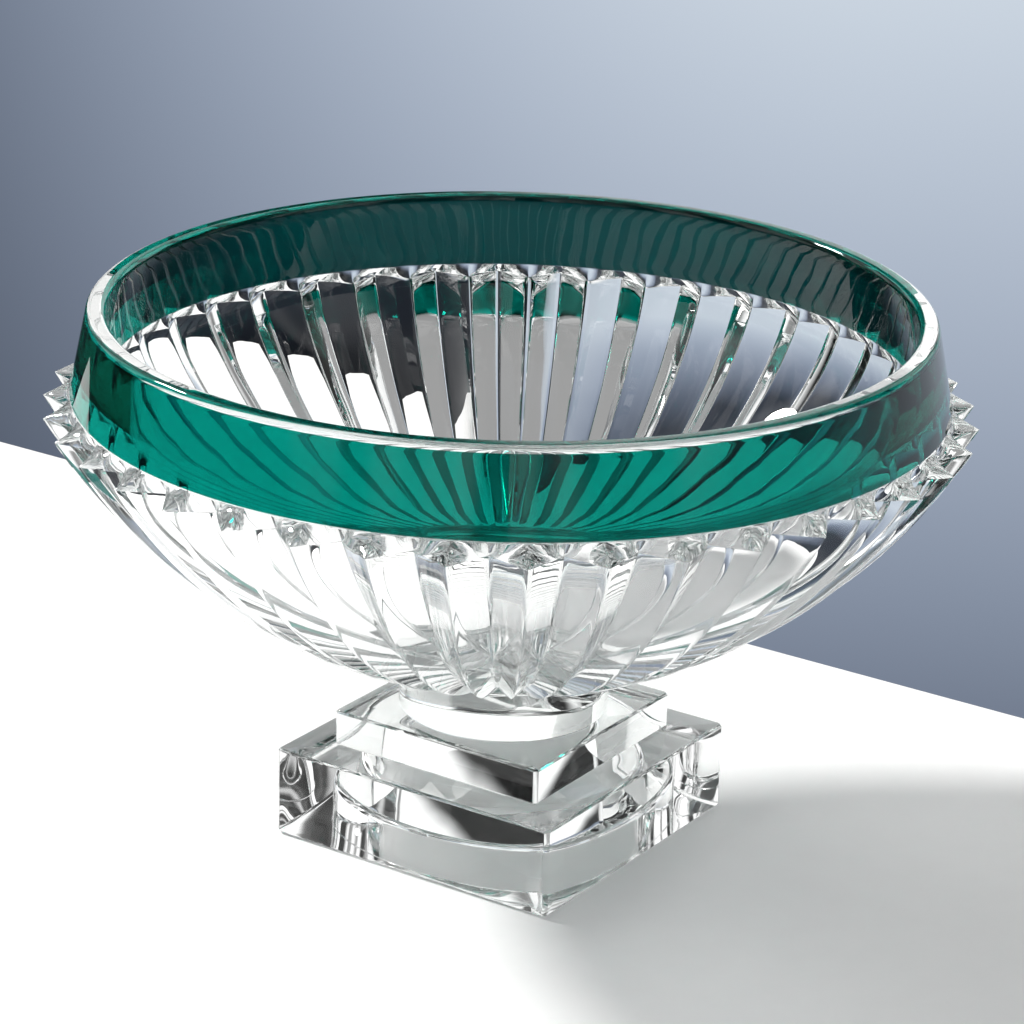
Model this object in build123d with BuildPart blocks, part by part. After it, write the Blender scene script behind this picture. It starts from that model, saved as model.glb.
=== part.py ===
from build123d import *
from math import sqrt
import os

os.makedirs("parts", exist_ok=True)

# Footed crystal centrepiece bowl, millimetres, +Z up.
# Origin at the centre of the square foot's underside.

# Square foot, two cut slabs
lower_side = 103.0
lower_height = 29.0
upper_side = 77.0
upper_height = 11.8
corner_bevel = 1.3
edge_bevel = 0.7
well_radius = 45.0
well_depth = 14.0
well_round = 2.5

# Round drum between the foot and the bowl
drum_radius = 33.3
drum_height = 16.4
drum_bevel = 0.6

# Films of clear adhesive between the cut blocks and under the bowl
bond_thickness = 0.2
bond_inset = 1.2

# Bowl
rim_height = 173.0
rim_radius = 130.0
rim_wall = 6.0
lip_round = 2.2
collar_foot_height = 146.4
collar_foot_radius = 135.5
rib_count = 40
tip_radius = 144.0
tip_height = 142.0
groove_depth_at_tip = 10.6
groove_depth_at_seat = 5.0
ridge_bulge = (103.0, 94.2)
groove_bulge = (92.5, 94.2)
section_count = 9
section_crowding = 1.5
first_section_rise = 1.0
seat_height = 2.6
floor_thickness = 12.5
inner_shoulder = (124.4, 148.0)
inner_wall_pull = (124.8, 114.0)
inner_floor_pull = 55.0

# Emerald overlay on the collar
band_bottom = 146.7
band_top = 170.6
band_thickness = 0.7

# Heights of the stack, bottom to top
upper_base = lower_height + bond_thickness
drum_base = upper_base + upper_height + bond_thickness
bowl_base = drum_base + drum_height + bond_thickness
seat_top = bowl_base + seat_height


def cut_slab(side, height, base):
    """A square slab with bevelled corners and bevelled top and bottom edges."""
    with BuildPart() as slab:
        with BuildSketch(Plane.XY.offset(base)):
            Rectangle(side, side)
        extrude(amount=height)
        chamfer(slab.edges().filter_by(Axis.Z), corner_bevel)
        chamfer(slab.faces().filter_by(Axis.Z).edges(), edge_bevel)
    return slab.part


# The lower slab has a shallow round well in its underside
with BuildPart() as well:
    with BuildSketch(Plane.XY):
        Circle(well_radius)
    extrude(amount=well_depth)
    fillet(well.faces().sort_by(Axis.Z)[-1].edges(), well_round)

lower_plinth = cut_slab(lower_side, lower_height, 0) - well.part
lower_plinth.label = "lower_plinth"
export_step(lower_plinth, "parts/lower_plinth.step")

upper_plinth = cut_slab(upper_side, upper_height, upper_base)
upper_plinth.label = "upper_plinth"
export_step(upper_plinth, "parts/upper_plinth.step")

with BuildPart() as neck_drum:
    with BuildSketch(Plane.XY.offset(drum_base)):
        Circle(drum_radius)
    extrude(amount=drum_height)
    chamfer(neck_drum.faces().filter_by(Axis.Z).edges(), drum_bevel)
neck_drum.part.label = "neck_drum"
export_step(neck_drum.part, "parts/neck_drum.step")

# Adhesive films

with BuildPart() as plinth_bond:
    with BuildSketch(Plane.XY.offset(lower_height)):
        Rectangle(upper_side - 2 * bond_inset, upper_side - 2 * bond_inset)
    extrude(amount=bond_thickness)
plinth_bond.part.label = "plinth_bond"
export_step(plinth_bond.part, "parts/plinth_bond.step")

with BuildPart() as drum_bond:
    with BuildSketch(Plane.XY.offset(drum_base - bond_thickness)):
        Circle(drum_radius - bond_inset)
    extrude(amount=bond_thickness)
drum_bond.part.label = "drum_bond"
export_step(drum_bond.part, "parts/drum_bond.step")

with BuildPart() as bowl_bond:
    with BuildSketch(Plane.XY.offset(bowl_base - bond_thickness)):
        Circle(drum_radius - bond_inset)
    extrude(amount=bond_thickness)
bowl_bond.part.label = "bowl_bond"
export_step(bowl_bond.part, "parts/bowl_bond.step")

# Underside of the bowl: the ridges follow one arc from the seat to their tips, and the
# grooves follow another arc inside it.
ridge_arc = ThreePointArc((drum_radius, bowl_base), ridge_bulge, (tip_radius, tip_height))
groove_arc = ThreePointArc(
    (drum_radius - groove_depth_at_seat, bowl_base),
    groove_bulge,
    (tip_radius - groove_depth_at_tip, tip_height),
)


def radius_at(arc, height):
    """Radius from the bowl's axis at which an underside arc passes a height."""
    centre = arc.arc_center
    return centre.X + sqrt(arc.radius**2 - (height - centre.Y) ** 2)


def star_points(ridge_radius, groove_radius):
    """Corners of the ribbed section: ridge, groove, ridge, groove and so on."""
    points = []
    for step in range(2 * rib_count):
        radius = groove_radius if step % 2 else ridge_radius
        point = Vector(radius, 0).rotate(Axis.Z, step * 180 / rib_count)
        points.append((point.X, point.Y))
    return points


def collar_radius(height):
    """Outer radius of the tapering collar at a height."""
    share = (height - collar_foot_height) / (rim_height - collar_foot_height)
    return collar_foot_radius + share * (rim_radius - collar_foot_radius)


with BuildPart() as crystal_bowl:
    # Ribbed underside, with the sections closer together near the seat
    first_section = bowl_base + first_section_rise
    for index in range(section_count):
        share = (index / (section_count - 1)) ** section_crowding
        height = first_section + (tip_height - first_section) * share
        with BuildSketch(Plane.XY.offset(height)):
            Polygon(
                *star_points(radius_at(ridge_arc, height), radius_at(groove_arc, height)),
                align=None,
            )
    loft()

    # Rib tips sloping back to the foot of the collar
    with BuildSketch(Plane.XY.offset(tip_height)):
        Polygon(*star_points(tip_radius, tip_radius - groove_depth_at_tip), align=None)
    with BuildSketch(Plane.XY.offset(collar_foot_height)):
        Polygon(*star_points(collar_foot_radius, collar_foot_radius), align=None)
    loft(ruled=True)

    # Collar with a shallow seat for the overlay, rounded lip, and the flat seat
    with BuildSketch(Plane.XZ):
        with BuildLine():
            Polyline(
                (0, collar_foot_height - 1),
                (collar_foot_radius - 1, collar_foot_height - 1),
                (collar_foot_radius, collar_foot_height),
                (collar_radius(band_bottom), band_bottom),
                (collar_radius(band_bottom) - band_thickness, band_bottom),
                (collar_radius(band_top) - band_thickness, band_top),
                (collar_radius(band_top), band_top),
                (rim_radius, rim_height),
                (0, rim_height),
                close=True,
            )
        make_face()
    revolve(axis=Axis.Z)
    with BuildSketch(Plane.XY.offset(bowl_base)):
        Circle(drum_radius)
    extrude(amount=seat_height)

    # Smooth inside
    with BuildSketch(Plane.XZ):
        with BuildLine():
            Line((rim_radius - rim_wall, rim_height + 1), inner_shoulder)
            Bezier(
                inner_shoulder,
                inner_wall_pull,
                (inner_floor_pull, bowl_base + floor_thickness),
                (0, bowl_base + floor_thickness),
            )
            Line((0, bowl_base + floor_thickness), (0, rim_height + 1))
            Line((0, rim_height + 1), (rim_radius - rim_wall, rim_height + 1))
        make_face()
    revolve(axis=Axis.Z, mode=Mode.SUBTRACT)
    fillet(crystal_bowl.faces().sort_by(Axis.Z)[-1].edges(), lip_round)
crystal_bowl.part.label = "crystal_bowl"
export_step(crystal_bowl.part, "parts/crystal_bowl.step")

# Emerald band, flush with the collar
with BuildPart() as emerald_band:
    with BuildSketch(Plane.XZ):
        with BuildLine():
            Polyline(
                (collar_radius(band_bottom), band_bottom),
                (collar_radius(band_bottom) - band_thickness, band_bottom),
                (collar_radius(band_top) - band_thickness, band_top),
                (collar_radius(band_top), band_top),
                close=True,
            )
        make_face()
    revolve(axis=Axis.Z)
emerald_band.part.label = "emerald_band"
export_step(emerald_band.part, "parts/emerald_band.step")
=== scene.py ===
import math

import bmesh
import bpy
from mathutils import Matrix, Vector


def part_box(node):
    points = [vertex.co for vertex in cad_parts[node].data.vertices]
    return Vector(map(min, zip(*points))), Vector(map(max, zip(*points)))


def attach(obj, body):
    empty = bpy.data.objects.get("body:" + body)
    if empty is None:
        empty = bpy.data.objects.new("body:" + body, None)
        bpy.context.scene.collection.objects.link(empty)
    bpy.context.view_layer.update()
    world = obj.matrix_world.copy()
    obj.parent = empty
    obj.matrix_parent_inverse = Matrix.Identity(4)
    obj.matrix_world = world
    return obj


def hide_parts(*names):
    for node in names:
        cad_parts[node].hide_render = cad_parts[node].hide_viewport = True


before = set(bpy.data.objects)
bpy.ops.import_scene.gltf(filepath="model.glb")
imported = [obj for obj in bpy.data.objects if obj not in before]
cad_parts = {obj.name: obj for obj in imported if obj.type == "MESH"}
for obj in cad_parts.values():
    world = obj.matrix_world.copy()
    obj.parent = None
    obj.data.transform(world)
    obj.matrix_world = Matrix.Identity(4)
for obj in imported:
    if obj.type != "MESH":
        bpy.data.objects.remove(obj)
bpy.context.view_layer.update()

scene = bpy.context.scene
pieces = {}

# Heights and radii that several pieces share come from the CAD boxes.
bowlLow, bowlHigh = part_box("crystal_bowl")
bandLow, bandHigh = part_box("emerald_band")
drumLow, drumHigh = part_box("neck_drum")
upperLow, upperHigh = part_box("upper_plinth")
lowerLow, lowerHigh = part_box("lower_plinth")
print("frame loaded, bowl", tuple(round(v, 4) for v in bowlHigh))


# Small helpers

def addNode(tree, kind, **values):
    node = tree.nodes.new(kind)
    for name, value in values.items():
        setattr(node, name, value)
    return node


def mathNode(tree, operation, first, second=None):
    node = addNode(tree, "ShaderNodeMath", operation=operation)
    for index, value in enumerate((first, second)):
        if value is None:
            continue
        if isinstance(value, (int, float)):
            node.inputs[index].default_value = value
        else:
            tree.links.new(value, node.inputs[index])
    return node.outputs[0]


def liveSocket(sockets, name):
    # A node that serves several data types has one socket of a name switched on.
    return [s for s in sockets if s.name == name and s.enabled][0]


def arcRadius(start, middle, end, height):
    # Radius at a height on the circle through three (radius, height) points.
    (ax, ay), (bx, by), (cx, cy) = start, middle, end
    d = 2 * (ax * (by - cy) + bx * (cy - ay) + cx * (ay - by))
    ux = ((ax * ax + ay * ay) * (by - cy) + (bx * bx + by * by) * (cy - ay)
          + (cx * cx + cy * cy) * (ay - by)) / d
    uy = ((ax * ax + ay * ay) * (cx - bx) + (bx * bx + by * by) * (ax - cx)
          + (cx * cx + cy * cy) * (bx - ax)) / d
    radius = math.hypot(ax - ux, ay - uy)
    return ux + math.sqrt(max(radius * radius - (height - uy) ** 2, 0.0))


# Materials

def principled(name):
    material = bpy.data.materials.new(name)
    material.use_nodes = True
    tree = material.node_tree
    tree.nodes.clear()
    shader = addNode(tree, "ShaderNodeBsdfPrincipled")
    output = addNode(tree, "ShaderNodeOutputMaterial")
    tree.links.new(shader.outputs[0], output.inputs["Surface"])
    return material, tree, shader


def glassMaterial(name, look):
    # Clear cut glass: the tint and polish drift a little, and the surface has faint waves from cutting.
    material, tree, shader = principled(name)
    shader.inputs["Transmission Weight"].default_value = 1.0
    shader.inputs["IOR"].default_value = look["ior"]
    shader.inputs["Specular Tint"].default_value = (*look["mirror"], 1)
    place = addNode(tree, "ShaderNodeTexCoord").outputs["Object"]

    tintNoise = addNode(tree, "ShaderNodeTexNoise")
    tintNoise.inputs["Scale"].default_value = look["tintScale"]
    tintNoise.inputs["Detail"].default_value = 2.0
    tree.links.new(place, tintNoise.inputs["Vector"])
    tint = addNode(tree, "ShaderNodeMix", data_type="RGBA")
    tint.inputs["A"].default_value = (*look["tint"], 1)
    tint.inputs["B"].default_value = (*look["tintDeep"], 1)
    tree.links.new(tintNoise.outputs["Fac"], tint.inputs["Factor"])
    tree.links.new(tint.outputs["Result"], shader.inputs["Base Color"])

    polish = addNode(tree, "ShaderNodeTexNoise")
    polish.inputs["Scale"].default_value = look["polishScale"]
    polish.inputs["Detail"].default_value = 4.0
    tree.links.new(place, polish.inputs["Vector"])
    rough = addNode(tree, "ShaderNodeMapRange")
    rough.inputs["From Min"].default_value = 0.35
    rough.inputs["From Max"].default_value = 0.8
    rough.inputs["To Min"].default_value = look["roughLow"]
    rough.inputs["To Max"].default_value = look["roughHigh"]
    tree.links.new(polish.outputs["Fac"], rough.inputs["Value"])
    tree.links.new(rough.outputs["Result"], shader.inputs["Roughness"])

    if look["waveHeight"] > 0:
        wave = addNode(tree, "ShaderNodeTexNoise")
        wave.inputs["Scale"].default_value = look["waveScale"]
        wave.inputs["Detail"].default_value = 1.0
        tree.links.new(place, wave.inputs["Vector"])
        bump = addNode(tree, "ShaderNodeBump")
        bump.inputs["Strength"].default_value = 1.0
        bump.inputs["Distance"].default_value = look["waveHeight"]
        tree.links.new(wave.outputs["Fac"], bump.inputs["Height"])
        tree.links.new(bump.outputs["Normal"], shader.inputs["Normal"])
    return material


crystalLook = {
    "ior": 1.52, "mirror": (0.6, 0.6, 0.6),
    "tint": (1.0, 1.0, 1.0), "tintDeep": (0.975, 0.99, 0.985), "tintScale": 18.0,
    "polishScale": 60.0, "roughLow": 0.0, "roughHigh": 0.02, "waveScale": 45.0, "waveHeight": 0.00012,
}
# The emerald layer colours light once on its outer face and once where it is fused to the crystal.
emeraldLook = {
    "ior": 1.52, "mirror": (0.6, 0.6, 0.6),
    "tint": (0.0014, 0.255, 0.205), "tintDeep": (0.0008, 0.22, 0.172), "tintScale": 14.0,
    "polishScale": 50.0, "roughLow": 0.0, "roughHigh": 0.015, "waveScale": 38.0, "waveHeight": 0.00015,
}
# Faces that are bonded or fused to a neighbour neither bend nor mirror light.
bondedLook = {
    "ior": 1.0, "mirror": (1.0, 1.0, 1.0),
    "tint": (1.0, 1.0, 1.0), "tintDeep": (0.985, 0.995, 0.99), "tintScale": 22.0,
    "polishScale": 40.0, "roughLow": 0.0, "roughHigh": 0.004, "waveScale": 1.0, "waveHeight": 0.0,
}
fusedLook = dict(emeraldLook, ior=1.0, waveHeight=0.0, roughHigh=0.004)
crystal = glassMaterial("cutCrystal", crystalLook)
emerald = glassMaterial("emeraldGlass", emeraldLook)
bonded = glassMaterial("bondedFace", bondedLook)
fused = glassMaterial("fusedEmerald", fusedLook)
print("materials made")


# Ribbed lathe, the rule that the bowl, the band and the drum follow

def ribbedLatheTree(surface, joined):
    tree = bpy.data.node_groups.new("ribbedLathe", "GeometryNodeTree")
    face = tree.interface
    face.new_socket("Geometry", in_out="INPUT", socket_type="NodeSocketGeometry")
    ribs = face.new_socket("Ribs", in_out="INPUT", socket_type="NodeSocketInt")
    ribs.default_value, ribs.min_value = 40, 3
    steps = face.new_socket("Steps per rib", in_out="INPUT", socket_type="NodeSocketInt")
    steps.default_value, steps.min_value = 16, 2
    soft = face.new_socket("Edge softness", in_out="INPUT", socket_type="NodeSocketFloat")
    soft.default_value, soft.min_value, soft.max_value = 0.003, 0.0001, 0.5
    crowd = face.new_socket("Crowding at edges", in_out="INPUT", socket_type="NodeSocketFloat")
    crowd.default_value, crowd.min_value, crowd.max_value = 0.8, 0.0, 0.95
    face.new_socket("Geometry", in_out="OUTPUT", socket_type="NodeSocketGeometry")

    source = addNode(tree, "NodeGroupInput")
    result = addNode(tree, "NodeGroupOutput")
    link = tree.links.new

    size = addNode(tree, "GeometryNodeAttributeDomainSize")
    link(source.outputs["Geometry"], size.inputs[0])
    stations = size.outputs["Point Count"]
    around = mathNode(tree, "MULTIPLY", source.outputs["Ribs"], source.outputs["Steps per rib"])
    grid = addNode(tree, "GeometryNodeMeshGrid")
    link(mathNode(tree, "ADD", around, 1.0), grid.inputs["Vertices X"])
    link(stations, grid.inputs["Vertices Y"])

    # Station and column of each grid point
    index = addNode(tree, "GeometryNodeInputIndex").outputs[0]
    station = mathNode(tree, "MODULO", index, stations)
    column = mathNode(tree, "FLOOR", mathNode(tree, "DIVIDE", mathNode(tree, "ADD", index, 0.5), stations))

    # Angle in ribs, with the columns closer together at the ridges and grooves
    share = mathNode(tree, "DIVIDE", column, source.outputs["Steps per rib"])
    swing = mathNode(tree, "SINE", mathNode(tree, "MULTIPLY", share, 4 * math.pi))
    crowded = mathNode(tree, "MULTIPLY", swing, source.outputs["Crowding at edges"])
    pull = mathNode(tree, "DIVIDE", crowded, 4 * math.pi)
    turn = mathNode(tree, "SUBTRACT", share, pull)
    angle = mathNode(tree, "DIVIDE", mathNode(tree, "MULTIPLY", turn, 2 * math.pi), source.outputs["Ribs"])

    # Softened V wave, 1 on a ridge and 0 in a groove
    keep = mathNode(tree, "SUBTRACT", 1.0, source.outputs["Edge softness"])
    cosine = mathNode(tree, "COSINE", mathNode(tree, "MULTIPLY", turn, 2 * math.pi))
    bend = mathNode(tree, "ARCSINE", mathNode(tree, "MULTIPLY", cosine, keep))
    most = mathNode(tree, "MULTIPLY", mathNode(tree, "ARCSINE", keep), 2.0)
    wave = mathNode(tree, "ADD", mathNode(tree, "DIVIDE", bend, most), 0.5)

    def stationValue(name, kind):
        read = addNode(tree, "GeometryNodeInputNamedAttribute", data_type=kind)
        read.inputs["Name"].default_value = name
        sample = addNode(tree, "GeometryNodeSampleIndex", data_type=kind, domain="POINT")
        link(source.outputs["Geometry"], sample.inputs["Geometry"])
        link(liveSocket(read.outputs, "Attribute"), liveSocket(sample.inputs, "Value"))
        return sample, liveSocket(sample.outputs, "Value")

    values = {}
    for name in ("grooveRadius", "grooveHeight", "ridgeRadius", "ridgeHeight"):
        sample, value = stationValue(name, "FLOAT")
        link(station, sample.inputs["Index"])
        values[name] = value

    def between(low, high):
        rise = mathNode(tree, "MULTIPLY", mathNode(tree, "SUBTRACT", high, low), wave)
        return mathNode(tree, "ADD", low, rise)

    radius = between(values["grooveRadius"], values["ridgeRadius"])
    height = between(values["grooveHeight"], values["ridgeHeight"])
    place = addNode(tree, "ShaderNodeCombineXYZ")
    link(mathNode(tree, "MULTIPLY", radius, mathNode(tree, "COSINE", angle)), place.inputs[0])
    link(mathNode(tree, "MULTIPLY", radius, mathNode(tree, "SINE", angle)), place.inputs[1])
    link(height, place.inputs[2])
    move = addNode(tree, "GeometryNodeSetPosition")
    link(grid.outputs["Mesh"], move.inputs["Geometry"])
    link(place.outputs[0], move.inputs["Position"])

    # Faces that touch a bonded neighbour are marked before the seams and the poles are merged
    faceRow = mathNode(tree, "MODULO", index, mathNode(tree, "SUBTRACT", stations, 1.0))
    sample, joinedHere = stationValue("joined", "FLOAT")
    link(faceRow, sample.inputs["Index"])
    mark = addNode(tree, "GeometryNodeStoreNamedAttribute", data_type="FLOAT", domain="FACE")
    mark.inputs["Name"].default_value = "joinedFace"
    link(move.outputs["Geometry"], mark.inputs["Geometry"])
    link(joinedHere, liveSocket(mark.inputs, "Value"))
    merge = addNode(tree, "GeometryNodeMergeByDistance")
    merge.inputs["Distance"].default_value = 1e-6
    link(mark.outputs["Geometry"], merge.inputs["Geometry"])

    realize = addNode(tree, "GeometryNodeRealizeInstances")
    link(merge.outputs["Geometry"], realize.inputs["Geometry"])
    first = addNode(tree, "GeometryNodeSetMaterial")
    first.inputs["Material"].default_value = surface
    link(realize.outputs["Geometry"], first.inputs["Geometry"])
    marked = addNode(tree, "GeometryNodeInputNamedAttribute", data_type="FLOAT")
    marked.inputs["Name"].default_value = "joinedFace"
    second = addNode(tree, "GeometryNodeSetMaterial")
    second.inputs["Material"].default_value = joined
    link(first.outputs["Geometry"], second.inputs["Geometry"])
    joinedFace = liveSocket(marked.outputs, "Attribute")
    link(mathNode(tree, "GREATER_THAN", joinedFace, 0.5), second.inputs["Selection"])
    link(second.outputs["Geometry"], result.inputs["Geometry"])
    return tree


def lathe(name, stations, ribs, steps, softness, crowding, surface, joined):
    # Each station is (groove radius, groove height, ridge radius, ridge height, joined).
    profile = bpy.data.meshes.new(name + "Profile")
    profile.from_pydata([(s[0], 0, s[1]) for s in stations],
                        [(i, i + 1) for i in range(len(stations) - 1)], [])
    for column, key in enumerate(("grooveRadius", "grooveHeight", "ridgeRadius", "ridgeHeight", "joined")):
        layer = profile.attributes.new(key, "FLOAT", "POINT")
        layer.data.foreach_set("value", [float(s[column]) for s in stations])
    holder = bpy.data.objects.new(name + "Profile", profile)
    scene.collection.objects.link(holder)
    tree = ribbedLatheTree(surface, joined)
    modifier = holder.modifiers.new("ribbedLathe", "NODES")
    modifier.node_group = tree
    wanted = {"Ribs": ribs, "Steps per rib": steps,
              "Edge softness": softness, "Crowding at edges": crowding}
    for item in tree.interface.items_tree:
        if item.in_out == "INPUT" and item.name in wanted:
            modifier[item.identifier] = wanted[item.name]
    bpy.context.view_layer.update()
    shaped = holder.evaluated_get(bpy.context.evaluated_depsgraph_get())
    mesh = bpy.data.meshes.new_from_object(shaped)
    mesh.name = name
    bpy.data.objects.remove(holder)
    piece = bpy.data.objects.new(name, mesh)
    scene.collection.objects.link(piece)
    return piece


def finishPiece(piece, sharpAngle):
    mesh = piece.data
    for layer in [a.name for a in mesh.attributes if a.name in
                  ("grooveRadius", "grooveHeight", "ridgeRadius", "ridgeHeight", "joined", "joinedFace")]:
        mesh.attributes.remove(mesh.attributes[layer])
    mesh.shade_smooth()
    mesh.set_sharp_from_angle(angle=math.radians(sharpAngle))
    loose = bmesh.new()
    loose.from_mesh(mesh)
    openEdges = sum(1 for e in loose.edges if len(e.link_faces) != 2)
    volume = loose.calc_volume(signed=True)
    loose.free()
    print(f"{piece.name}: {len(mesh.polygons)} faces, {openEdges} open edges, {volume * 1e6:.1f} ml")


def plain(points, joined=0):
    return [(r, z, r, z, joined) for r, z in points]


def roundCorner(before, corner, after, radius, count):
    # Points of a fillet at a corner of a profile.
    a = (Vector(before) - Vector(corner)).normalized()
    b = (Vector(after) - Vector(corner)).normalized()
    half = a.angle(b) / 2
    reach = radius / math.tan(half)
    centre = Vector(corner) + (a + b).normalized() * (radius / math.sin(half))
    start = Vector(corner) + a * reach - centre
    end = Vector(corner) + b * reach - centre
    sweep = start.angle_signed(end)
    points = []
    for i in range(count + 1):
        turn = -sweep * i / count
        spun = Vector((start.x * math.cos(turn) - start.y * math.sin(turn),
                       start.x * math.sin(turn) + start.y * math.cos(turn)))
        points.append(tuple(centre + spun))
    return points


# Bowl

bowlShape = {
    "ribs": 40, "stepsPerRib": 16, "edgeSoftness": 0.002, "crowding": 0.8,
    "ridgeBulge": (0.1030, 0.0942), "grooveBulge": (0.0925, 0.0942), "grooveAtSeat": 0.0283,
    "grooveDepth": 0.0106, "underStations": 44, "collarFoot": (0.1355, 0.1464),
    "tipHeight": 0.142, "tipRound": 0.00035, "rimRadius": 0.130, "rimWall": 0.006, "lipRound": 0.0022,
    "innerShoulder": (0.1244, 0.1480), "innerWallPull": (0.1248, 0.1140), "innerFloorPull": 0.055,
    "floor": 0.0125, "innerStations": 46, "bandDepth": 0.0007, "bandRows": 8,
    "seatLift": 0.0026, "seatRound": 0.0003, "ridgeLift": 0.0006, "bondInset": 0.0012,
    "stationCrowding": 1.35, "lipSteps": 7, "wallSteps": 7,
}


def bowlStations(shape):
    base = bowlLow.z
    rim = bowlHigh.z
    drum = (drumHigh.x - drumLow.x) / 2
    tip = (bowlHigh.x, shape["tipHeight"])
    grooveTip = (tip[0] - shape["grooveDepth"], tip[1])
    stations = plain([(0, base), (0.5 * drum, base)], 1) + plain([(drum - shape["bondInset"], base)])
    stations += plain([(drum - shape["seatRound"], base), (drum, base + shape["seatRound"])])

    # Ribs: both lines rise together from the seat to the tips
    ridgeStart, grooveStart = base + shape["ridgeLift"], base + shape["seatLift"]
    count = shape["underStations"]
    for i in range(count + 1):
        share = (i / count) ** shape["stationCrowding"]
        ridgeZ = ridgeStart + (tip[1] - ridgeStart) * share
        grooveZ = grooveStart + (tip[1] - grooveStart) * share
        if i == count:
            ridgeZ = grooveZ = tip[1] - shape["tipRound"]
        ridgeR = arcRadius((drum, base), shape["ridgeBulge"], tip, ridgeZ)
        grooveR = arcRadius((shape["grooveAtSeat"], base), shape["grooveBulge"], grooveTip, grooveZ)
        stations.append((max(grooveR, drum), grooveZ, max(ridgeR, drum), ridgeZ, 0))

    # Rounded tips and the facets that slant back to the collar
    foot = shape["collarFoot"]
    cut = shape["tipRound"]
    stations.append((grooveTip[0] + 0.3 * cut, tip[1] - 0.3 * cut,
                     tip[0] - 0.3 * cut, tip[1] - 0.2 * cut, 0))
    for share in (0.04, 0.3, 0.65, 0.93):
        z = tip[1] + (foot[1] - tip[1]) * share
        stations.append((grooveTip[0] + (foot[0] - grooveTip[0]) * share, z,
                         tip[0] + (foot[0] - tip[0]) * share, z, 0))

    # Collar, with the recess that the emerald band fills
    def collar(z):
        return foot[0] + (z - foot[1]) / (rim - foot[1]) * (shape["rimRadius"] - foot[0])

    depth = shape["bandDepth"]
    low, high = bandLow.z, bandHigh.z
    stations += plain([(foot[0], foot[1])])
    rows = shape["bandRows"]
    heights = [low + (high - low) * k / rows for k in range(1, rows + 1)]
    stations += plain([(collar(low), low), (collar(low) - depth, low)], 1)
    stations += plain([(collar(z) - depth, z) for z in heights], 1)
    stations += plain([(collar(high), high)])
    outer = (collar(high), high)
    inner = (shape["rimRadius"] - shape["rimWall"], rim)
    edge = (shape["rimRadius"], rim)
    stations += plain(roundCorner(outer, edge, inner, shape["lipRound"], shape["lipSteps"]))
    stations += plain(roundCorner(edge, inner, shape["innerShoulder"], shape["lipRound"], shape["lipSteps"]))

    # Smooth inside: straight wall, then one long curve to the middle of the floor
    shoulder = shape["innerShoulder"]
    floorZ = base + shape["floor"]
    for k in range(1, shape["wallSteps"]):
        share = k / shape["wallSteps"]
        stations += plain([(inner[0] + (shoulder[0] - inner[0]) * share,
                            rim - shape["lipRound"] + (shoulder[1] - rim + shape["lipRound"]) * share)])
    count = shape["innerStations"]
    pulls = (shoulder, shape["innerWallPull"], (shape["innerFloorPull"], floorZ), (0, floorZ))
    for i in range(count + 1):
        t = i / count
        weights = ((1 - t) ** 3, 3 * t * (1 - t) ** 2, 3 * t * t * (1 - t), t ** 3)
        stations += plain([tuple(sum(w * p[axis] for w, p in zip(weights, pulls)) for axis in (0, 1))])
    return stations, collar


stations, collarRadius = bowlStations(bowlShape)
bowl = lathe("bowlCrystal", stations, bowlShape["ribs"], bowlShape["stepsPerRib"],
             bowlShape["edgeSoftness"], bowlShape["crowding"], crystal, bonded)
finishPiece(bowl, 38)
pieces["crystal_bowl"] = (bowl, "crystal")
print("bowl made with", len(stations), "stations")


# Emerald band

faceGap = 0.00002  # bonded faces stand this far apart, so that no two of them coincide
bandShape = {"columns": 40, "stepsPerColumn": 8, "rows": 8}


def bandStations(shape):
    low, high = bandLow.z + faceGap, bandHigh.z - faceGap
    depth = bowlShape["bandDepth"] - faceGap
    rows = [low + (high - low) * k / shape["rows"] for k in range(shape["rows"] + 1)]
    outside = plain([(collarRadius(z), z) for z in rows[:-1]])
    turnIn = plain([(collarRadius(high), high)], 1)
    inside = plain([(collarRadius(z) - depth, z) for z in reversed(rows)], 1)
    close = plain([(collarRadius(low), low)], 1)
    return outside + turnIn + inside + close


band = lathe("bandEmerald", bandStations(bandShape), bandShape["columns"], bandShape["stepsPerColumn"],
             0.5, 0.0, emerald, fused)
finishPiece(band, 38)
pieces["emerald_band"] = (band, "emerald_glass")
print("band made")


# Neck drum

drumShape = {
    "columns": 40, "stepsPerColumn": 8, "rows": 6,
    "edgeRound": 0.0006, "edgeSteps": 4, "edgeGuard": 0.0004, "bondInset": 0.0012,
}


def drumStations(shape):
    radius, low, high, edge = drumHigh.x, drumLow.z, drumHigh.z, shape["edgeRound"]
    touch, guard, rows = radius - shape["bondInset"], shape["edgeGuard"], shape["rows"]
    stations = plain([(0, low), (touch / 2, low)], 1) + plain([(touch, low)])
    stations += plain(roundCorner((touch, low), (radius, low), (radius, high), edge, shape["edgeSteps"]))
    stations += plain([(radius, low + edge + guard)])
    stations += plain([(radius, low + (high - low) * k / rows) for k in range(1, rows)])
    stations += plain([(radius, high - edge - guard)])
    stations += plain(roundCorner((radius, low), (radius, high), (touch, high), edge, shape["edgeSteps"]))
    stations += plain([(touch, high), (touch / 2, high)], 1) + plain([(0, high)])
    return stations


drum = lathe("drumCrystal", drumStations(drumShape), drumShape["columns"], drumShape["stepsPerColumn"],
             0.5, 0.0, crystal, bonded)
finishPiece(drum, 30)
pieces["neck_drum"] = (drum, "crystal")
print("drum made")


# Square slabs

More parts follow.
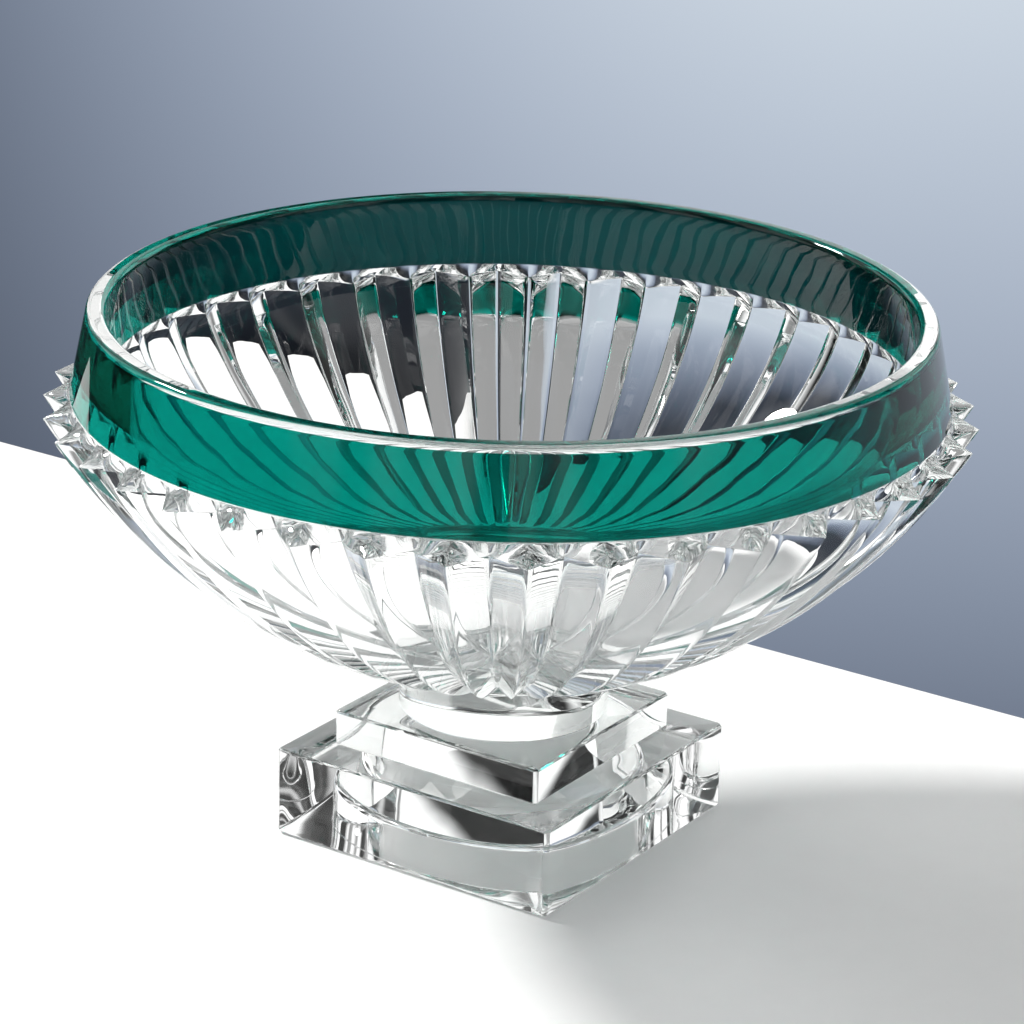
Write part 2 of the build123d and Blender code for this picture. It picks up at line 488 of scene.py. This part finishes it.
slabShape = {
    "cornerBevel": 0.0013, "edgeBevel": 0.0007, "bondInset": 0.0012,
    "softWidth": 0.00025, "softSegments": 3, "softAngle": 20,
    "wellRadius": 0.045, "wellDepth": 0.014, "wellRound": 0.0025, "wellSteps": 10,
    "wellRimGuard": 0.0004, "wellCurveGuard": 0.0003, "ringCount": 144,
}


def addRing(build, radius, height, count, turn=0.0):
    angles = [turn + 2 * math.pi * k / count for k in range(count)]
    ring = [build.verts.new((radius * math.cos(a), radius * math.sin(a), height)) for a in angles]
    edges = [build.edges.new((ring[k - 1], ring[k])) for k in range(count)]
    return ring, edges


def cutHole(build, height, ring, edges):
    # Refills the slab's face at a height around a ring, and leaves the ring open.
    level = [f for f in build.faces if abs(f.calc_center_median().z - height) < 1e-5]
    lid = max(level, key=lambda f: f.calc_area())
    border = list(lid.edges) + edges
    build.faces.remove(lid)
    filled = bmesh.ops.triangle_fill(build, edges=border, use_beauty=True, use_dissolve=False)
    for f in [g for g in filled["geom"] if isinstance(g, bmesh.types.BMFace)]:
        if all(v in ring for v in f.verts):
            build.faces.remove(f)


def addWell(build, height, shape):
    # Ceiling and wall of the round well in the underside.
    count, radius, curve = shape["ringCount"], shape["wellRadius"], shape["wellRound"]
    ceiling = height + shape["wellDepth"]
    guard, steps = shape["wellCurveGuard"], shape["wellSteps"]
    line = [(radius, height + shape["wellRimGuard"]), (radius, ceiling - curve - guard)]
    turns = [t * math.pi / (2 * steps) for t in range(steps + 1)]
    line += [(radius - curve + curve * math.cos(a), ceiling - curve + curve * math.sin(a)) for a in turns]
    line += [(radius - curve - guard, ceiling), (radius / 2, ceiling)]
    below, edges = addRing(build, radius, height, count)
    cutHole(build, height, set(below), edges)
    for ringRadius, ringHeight in line:
        ring, edges = addRing(build, ringRadius, ringHeight, count)
        for k in range(count):
            build.faces.new((below[k - 1], below[k], ring[k], ring[k - 1]))
        below = ring
    build.faces.new(below)


def slab(name, low, high, topPatch, bottomPatch, well=False):
    # A square slab. Each patch is (half side or radius, round) of the part of a face that is bonded.
    mesh = bpy.data.meshes.new(name)
    build = bmesh.new()
    side = high.x - low.x
    middle = (low.z + high.z) / 2
    bmesh.ops.create_cube(build, size=1.0, matrix=Matrix.Translation((0, 0, middle))
                          @ Matrix.Diagonal((side, side, high.z - low.z, 1)))
    upright = [e for e in build.edges if abs(e.verts[0].co.z - e.verts[1].co.z) > 1e-4]
    bmesh.ops.bevel(build, geom=upright, offset=slabShape["cornerBevel"], segments=1, affect="EDGES")
    level = [e for e in build.edges if abs(e.verts[0].co.z - e.verts[1].co.z) < 1e-6]
    bmesh.ops.bevel(build, geom=level, offset=slabShape["edgeBevel"], segments=1, affect="EDGES")
    for height, patch in ((high.z, topPatch), (low.z, bottomPatch)):
        if patch is None:
            continue
        half, rounded = patch
        if rounded:
            ring, edges = addRing(build, half, height, slabShape["ringCount"])
        else:
            ring, edges = addRing(build, half * math.sqrt(2), height, 4, math.pi / 4)
        cutHole(build, height, set(ring), edges)
        build.faces.new(ring).material_index = 1
    if well:
        addWell(build, low.z, slabShape)
    bmesh.ops.recalc_face_normals(build, faces=build.faces[:])
    build.to_mesh(mesh)
    build.free()
    mesh.materials.append(crystal)
    mesh.materials.append(bonded)
    piece = bpy.data.objects.new(name, mesh)
    scene.collection.objects.link(piece)
    bevel = piece.modifiers.new("softEdges", "BEVEL")
    bevel.width = slabShape["softWidth"]
    bevel.segments = slabShape["softSegments"]
    bevel.limit_method = "ANGLE"
    bevel.angle_limit = math.radians(slabShape["softAngle"])
    shaped = piece.evaluated_get(bpy.context.evaluated_depsgraph_get())
    piece.data = bpy.data.meshes.new_from_object(shaped)
    piece.modifiers.clear()
    finishPiece(piece, 12)
    return piece


inset = slabShape["bondInset"]
upperPatch = ((upperHigh.x - upperLow.x) / 2 - inset, False)
drumPatch = ((drumHigh.x - drumLow.x) / 2 - inset, True)
upper = slab("slabUpper", upperLow, upperHigh, drumPatch, upperPatch)
lower = slab("slabLower", lowerLow, lowerHigh, upperPatch, None, well=True)
pieces["upper_plinth"] = (upper, "crystal")
pieces["lower_plinth"] = (lower, "crystal")
print("slabs made")

# Adhesive films: open to light above and below, with a rim that catches it

filmShape = {"columns": 40, "stepsPerColumn": 4, "cornerRound": 0.002, "cornerSegments": 5}


def roundFilm(name, node, shape):
    low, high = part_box(node)
    radius, bottom, top = high.x, low.z + faceGap, high.z - faceGap
    stations = plain([(0, bottom), (radius / 2, bottom)], 1) + plain([(radius, bottom)])
    stations += plain([(radius, top), (radius / 2, top)], 1) + plain([(0, top)])
    return lathe(name, stations, shape["columns"], shape["stepsPerColumn"], 0.5, 0.0, crystal, bonded)


def squareFilm(name, node):
    low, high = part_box(node)
    build = bmesh.new()
    size = (high.x - low.x, high.y - low.y, high.z - low.z - 2 * faceGap, 1)
    bmesh.ops.create_cube(build, size=1.0, matrix=Matrix.Translation((0, 0, (low.z + high.z) / 2))
                          @ Matrix.Diagonal(size))
    upright = [e for e in build.edges if abs(e.verts[0].co.x - e.verts[1].co.x) < 1e-6
               and abs(e.verts[0].co.y - e.verts[1].co.y) < 1e-6]
    bmesh.ops.bevel(build, geom=upright, offset=filmShape["cornerRound"], segments=filmShape["cornerSegments"],
                    affect="EDGES", profile=0.5)
    for f in build.faces:
        f.material_index = 1 if abs(f.normal.z) > 0.5 else 0
    mesh = bpy.data.meshes.new(name)
    build.to_mesh(mesh)
    build.free()
    mesh.materials.append(crystal)
    mesh.materials.append(bonded)
    piece = bpy.data.objects.new(name, mesh)
    scene.collection.objects.link(piece)
    return piece


for name, node in (("filmBowl", "bowl_bond"), ("filmDrum", "drum_bond")):
    pieces[node] = (roundFilm(name, node, filmShape), "clear_bond")
pieces["plinth_bond"] = (squareFilm("filmPlinth", "plinth_bond"), "clear_bond")
for node in ("bowl_bond", "drum_bond", "plinth_bond"):
    finishPiece(pieces[node][0], 30)
print("films made")

for node, (piece, slotName) in pieces.items():
    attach(piece, "root")
    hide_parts(node)
print("pieces placed")


# Table, backdrop, light and camera

stageLook = {
    "tableEdge": 0.176, "tableFront": -0.75, "tableHalfWidth": 0.8, "tableThickness": 0.03,
    "tableGap": 0.0003, "tableTint": (0.90, 0.91, 0.92), "tableRough": 0.55, "grainScale": 90.0,
    "keyPlace": (-1.9, -0.10, 1.40), "keySpread": 9.0, "keyPower": 4.4, "keyTint": (1.0, 0.98, 0.95),
}


def makeTable(look):
    mesh = bpy.data.meshes.new("table")
    build = bmesh.new()
    depth = look["tableEdge"] - look["tableFront"]
    bmesh.ops.create_cube(build, size=1.0, matrix=Matrix.Translation(
        (0, look["tableEdge"] - depth / 2, -look["tableGap"] - look["tableThickness"] / 2))
        @ Matrix.Diagonal((2 * look["tableHalfWidth"], depth, look["tableThickness"], 1)))
    build.to_mesh(mesh)
    build.free()
    table = bpy.data.objects.new("table", mesh)
    scene.collection.objects.link(table)
    material, tree, shader = principled("tableTop")
    grain = addNode(tree, "ShaderNodeTexNoise")
    grain.inputs["Scale"].default_value = look["grainScale"]
    tree.links.new(addNode(tree, "ShaderNodeTexCoord").outputs["Object"], grain.inputs["Vector"])
    shade = addNode(tree, "ShaderNodeMix", data_type="RGBA")
    shade.inputs["A"].default_value = (*look["tableTint"], 1)
    shade.inputs["B"].default_value = (*(0.97 * c for c in look["tableTint"]), 1)
    tree.links.new(grain.outputs["Fac"], shade.inputs["Factor"])
    tree.links.new(shade.outputs["Result"], shader.inputs["Base Color"])
    shader.inputs["Roughness"].default_value = look["tableRough"]
    mesh.materials.append(material)


def makeKey(look):
    light = bpy.data.lights.new("keyLight", "SUN")
    light.energy = look["keyPower"]
    light.angle = math.radians(look["keySpread"])
    light.color = look["keyTint"]
    lamp = bpy.data.objects.new("keyLight", light)
    scene.collection.objects.link(lamp)
    lamp.location = look["keyPlace"]
    lamp.rotation_euler = (-Vector(look["keyPlace"])).to_track_quat("-Z", "Y").to_euler()


backdropLook = {
    "left": 0.02, "right": 0.66, "low": 0.06, "behind": 0.30,
    "stripScale": 2.1, "stripDark": 0.01, "stripBright": 1.2, "ceiling": 0.35,
    "tintDark": (0.82, 1.0, 1.38), "tintBright": (0.90, 1.0, 1.11), "tintCards": (1.0, 1.0, 1.0),
}


def makeBackdrop(look):
    # Below the horizon a grey-blue backdrop that brightens upwards and to the right, and above it
    # soft upright cards.
    world = bpy.data.worlds.new("studio")
    scene.world = world
    world.use_nodes = True
    tree = world.node_tree
    tree.nodes.clear()
    output = addNode(tree, "ShaderNodeOutputWorld")
    sky = addNode(tree, "ShaderNodeBackground")
    tree.links.new(sky.outputs[0], output.inputs["Surface"])
    way = addNode(tree, "ShaderNodeTexCoord").outputs["Generated"]

    def along(direction):
        dot = addNode(tree, "ShaderNodeVectorMath", operation="DOT_PRODUCT")
        tree.links.new(way, dot.inputs[0])
        dot.inputs[1].default_value = direction
        return dot.outputs["Value"]

    def ramp(value, low, high, fromLow, fromHigh, smooth=True):
        node = addNode(tree, "ShaderNodeMapRange", interpolation_type="SMOOTHSTEP" if smooth else "LINEAR")
        node.inputs["From Min"].default_value = low
        node.inputs["From Max"].default_value = high
        node.inputs["To Min"].default_value = fromLow
        node.inputs["To Max"].default_value = fromHigh
        tree.links.new(value, node.inputs["Value"])
        return node.outputs["Result"]

    def blendOf(factor, first, second):
        change = mathNode(tree, "MULTIPLY", mathNode(tree, "SUBTRACT", second, first), factor)
        return mathNode(tree, "ADD", first, change)

    sideways = along((0.832, 0.554, 0.0))
    upwards = along((0, 0, 1))
    forwards = along((-0.554, 0.832, 0.0))
    across = ramp(sideways, -0.28, 0.10, look["left"], look["right"])
    above = ramp(upwards, -0.46, -0.214, look["low"], 1.0, smooth=False)
    front = ramp(forwards, -0.3, 0.5, look["behind"], 1.0)
    backdrop = mathNode(tree, "MULTIPLY", mathNode(tree, "MULTIPLY", across, above), front)

    bearing = mathNode(tree, "ARCTAN2", sideways, forwards)
    cards = addNode(tree, "ShaderNodeTexNoise", noise_dimensions="1D")
    cards.inputs["Scale"].default_value = look["stripScale"]
    cards.inputs["Detail"].default_value = 1.5
    tree.links.new(bearing, cards.inputs["W"])
    strips = ramp(cards.outputs["Fac"], 0.44, 0.56, look["stripDark"], look["stripBright"])
    strips = blendOf(ramp(upwards, 0.55, 0.85, 0.0, 1.0), strips, look["ceiling"])
    glow = blendOf(ramp(upwards, 0.0, 0.08, 0.0, 1.0), backdrop, strips)

    def tintMix(factor, first, second):
        mix = addNode(tree, "ShaderNodeMix", data_type="RGBA")
        for value, name in ((first, "A"), (second, "B")):
            if isinstance(value, tuple):
                mix.inputs[name].default_value = (*value, 1)
            else:
                tree.links.new(value, mix.inputs[name])
        tree.links.new(factor, mix.inputs["Factor"])
        return mix.outputs["Result"]

    tint = tintMix(ramp(glow, 0.1, 0.7, 0.0, 1.0, smooth=False), look["tintDark"], look["tintBright"])
    tint = tintMix(ramp(upwards, 0.0, 0.08, 0.0, 1.0), tint, look["tintCards"])
    tree.links.new(tint, sky.inputs["Color"])
    tree.links.new(glow, sky.inputs["Strength"])


makeTable(stageLook)
makeBackdrop(backdropLook)
makeKey(stageLook)

cameraPlace = {
    "at": (0.6077, -0.9126, 0.5136), "towards": (0.0010, 0.0007, 0.1052), "lens": 131.7, "roll": 1.473,
}
cameraData = bpy.data.cameras.new("camera")
cameraData.lens = cameraPlace["lens"]
cameraData.sensor_width = 36.0
cameraData.clip_start = 0.01
camera = bpy.data.objects.new("camera", cameraData)
scene.collection.objects.link(camera)
view = (Vector(cameraPlace["towards"]) - Vector(cameraPlace["at"])).to_track_quat("-Z", "Y")
camera.matrix_world = (Matrix.Translation(cameraPlace["at"]) @ view.to_matrix().to_4x4()
                       @ Matrix.Rotation(math.radians(cameraPlace["roll"]), 4, "Z"))
scene.camera = camera

scene.view_settings.view_transform = "Standard"
scene.cycles.max_bounces = 32
scene.cycles.transmission_bounces = 28
scene.cycles.glossy_bounces = 12
scene.cycles.transparent_max_bounces = 16
scene.cycles.sample_clamp_indirect = 6.0
scene.cycles.blur_glossy = 0.3
print("stage, lights and camera made")
